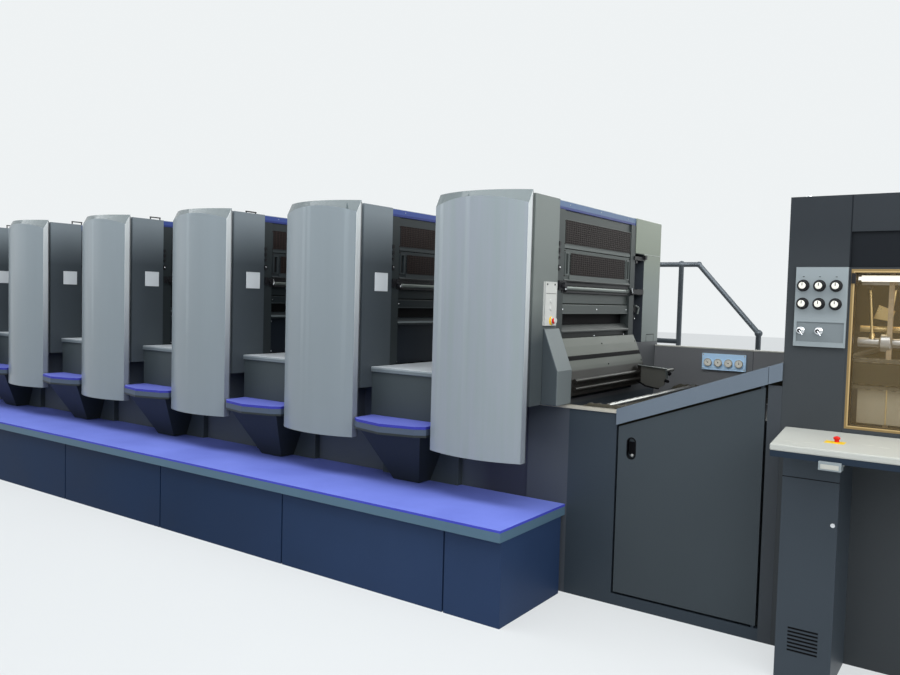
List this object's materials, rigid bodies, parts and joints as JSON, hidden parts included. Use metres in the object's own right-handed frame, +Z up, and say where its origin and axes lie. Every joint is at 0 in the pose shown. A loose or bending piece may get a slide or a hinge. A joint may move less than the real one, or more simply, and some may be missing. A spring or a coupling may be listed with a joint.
{
  "type": "offset printing press",
  "caption": "Long sheet-fed offset printing press: a feeder, a row of printing units with curved silver covers, a blue walkway and a delivery tower with its console.",
  "frame": {"origin": "middle of the press's bounding box at floor level", "axes": "+X runs along the press toward the delivery, +Y away from the operator side, +Z up"},
  "size_m": [12.345, 2.834, 2.211],
  "materials": {
    "cover_silver": "satin metallic paint",
    "housing_grey": "satin paint",
    "base_dark": "satin paint",
    "recess_black": "satin paint",
    "recess_grey": "satin paint",
    "grille_brown": "satin paint",
    "band_blue": "satin paint",
    "chrome": "polished",
    "platform_grey": "worn plate",
    "bracket_grey": "satin paint",
    "mat_blue": "matte rubber",
    "walkway_navy": "satin paint",
    "strip_white": "satin paint",
    "sheet_grey": "satin paint",
    "delivery_slate": "satin paint",
    "band_pale": "satin paint",
    "rail_dark": "oiled",
    "chain_steel": "oiled",
    "lever_black": "moulded",
    "bar_steel": "brushed",
    "frame_bronze": "satin paint",
    "gauge_blue": "satin paint",
    "tower_dark": "satin paint",
    "window_amber": "tinted",
    "air_panel": "satin paint",
    "board_wood": "worn planks",
    "table_white": "matte laminate",
    "gallery_grey": "satin paint",
    "rail_steel": "brushed",
    "feeder_grey": "satin paint"
  },
  "bodies": {
    "press": {"unit_bases": "base_dark", "operator_housings": "housing_grey", "drive_housings": "housing_grey", "unit_cores": "recess_black", "unit_tops": "housing_grey", "duct_bands": "band_blue", "upper_grilles": "grille_brown", "lower_panels": "recess_grey", "chrome_bars": "chrome", "recess_levers": "lever_black", "gap_blocks": "base_dark", "platforms": "platform_grey", "step_brackets": "bracket_grey", "step_mats": "mat_blue", "walkway_deck": "walkway_navy", "walkway_mat": "mat_blue", "walkway_panels": "walkway_navy", "control_strip": "strip_white", "cheek_block": "housing_grey", "sheet_guard": "sheet_grey", "delivery_near_wall": "delivery_slate", "delivery_band": "band_pale", "delivery_far_wall": "delivery_slate", "delivery_body": "base_dark", "chain_rails": "rail_dark", "gripper_chains": "chain_steel", "chain_sprockets": "chain_steel", "gripper_bars": "bar_steel", "gauge_panel": "gauge_blue", "tower_near_side": "tower_dark", "tower_shell": "tower_dark", "window_frame": "frame_bronze", "tower_window": "window_amber", "air_controls": "air_panel", "pile_board": "board_wood", "console_table": "table_white", "console_cabinet": "delivery_slate", "gallery": "gallery_grey", "handrail": "rail_steel", "infeed_housing": "delivery_slate", "feed_board": "sheet_grey", "feeder_frame": "feeder_grey", "feeder_head": "bar_steel", "feeder_pile_board": "board_wood", "guard_posts": "recess_grey"},
    "cover_1": {"cover_1": "cover_silver"},
    "cover_2": {"cover_2": "cover_silver"},
    "cover_3": {"cover_3": "cover_silver"},
    "cover_4": {"cover_4": "cover_silver"},
    "cover_5": {"cover_5": "cover_silver"},
    "cover_6": {"cover_6": "cover_silver"},
    "guard_1": {"guard_1": "grille_brown"},
    "guard_2": {"guard_2": "grille_brown"},
    "guard_3": {"guard_3": "grille_brown"},
    "guard_4": {"guard_4": "grille_brown"},
    "guard_5": {"guard_5": "grille_brown"},
    "guard_6": {"guard_6": "grille_brown"},
    "side_door": {"side_door": "delivery_slate"}
  },
  "joints": [
    {"name": "cover_1_hinge", "type": "hinge", "parent": "press", "child": "cover_1", "pos_m": [2.4985, -1.044, 1.4], "axis": [0, 0, -1], "range_deg": [0, 75]},
    {"name": "cover_2_hinge", "type": "hinge", "parent": "press", "child": "cover_2", "pos_m": [1.3235, -1.044, 1.4], "axis": [0, 0, -1], "range_deg": [0, 75]},
    {"name": "cover_3_hinge", "type": "hinge", "parent": "press", "child": "cover_3", "pos_m": [0.1485, -1.044, 1.4], "axis": [0, 0, -1], "range_deg": [0, 75]},
    {"name": "cover_4_hinge", "type": "hinge", "parent": "press", "child": "cover_4", "pos_m": [-1.0265, -1.044, 1.4], "axis": [0, 0, -1], "range_deg": [0, 75]},
    {"name": "cover_5_hinge", "type": "hinge", "parent": "press", "child": "cover_5", "pos_m": [-2.2015, -1.044, 1.4], "axis": [0, 0, -1], "range_deg": [0, 75]},
    {"name": "cover_6_hinge", "type": "hinge", "parent": "press", "child": "cover_6", "pos_m": [-3.3765, -1.044, 1.4], "axis": [0, 0, -1], "range_deg": [0, 75]},
    {"name": "guard_1_hinge", "type": "hinge", "parent": "press", "child": "guard_1", "pos_m": [3.0495, -0.1805, 1.882], "axis": [0, -1, 0], "range_deg": [0, 95]},
    {"name": "guard_2_hinge", "type": "hinge", "parent": "press", "child": "guard_2", "pos_m": [1.8745, -0.1805, 1.882], "axis": [0, -1, 0], "range_deg": [0, 95]},
    {"name": "guard_3_hinge", "type": "hinge", "parent": "press", "child": "guard_3", "pos_m": [0.6995, -0.1805, 1.882], "axis": [0, -1, 0], "range_deg": [0, 95]},
    {"name": "guard_4_hinge", "type": "hinge", "parent": "press", "child": "guard_4", "pos_m": [-0.4755, -0.1805, 1.882], "axis": [0, -1, 0], "range_deg": [0, 95]},
    {"name": "guard_5_hinge", "type": "hinge", "parent": "press", "child": "guard_5", "pos_m": [-1.6505, -0.1805, 1.882], "axis": [0, -1, 0], "range_deg": [0, 95]},
    {"name": "guard_6_hinge", "type": "hinge", "parent": "press", "child": "guard_6", "pos_m": [-2.8255, -0.1805, 1.882], "axis": [0, -1, 0], "range_deg": [0, 95]},
    {"name": "side_door_hinge", "type": "hinge", "parent": "press", "child": "side_door", "pos_m": [4.1745, -0.724, 0.6], "axis": [0, 0, 1], "range_deg": [0, 90]}
  ]
}
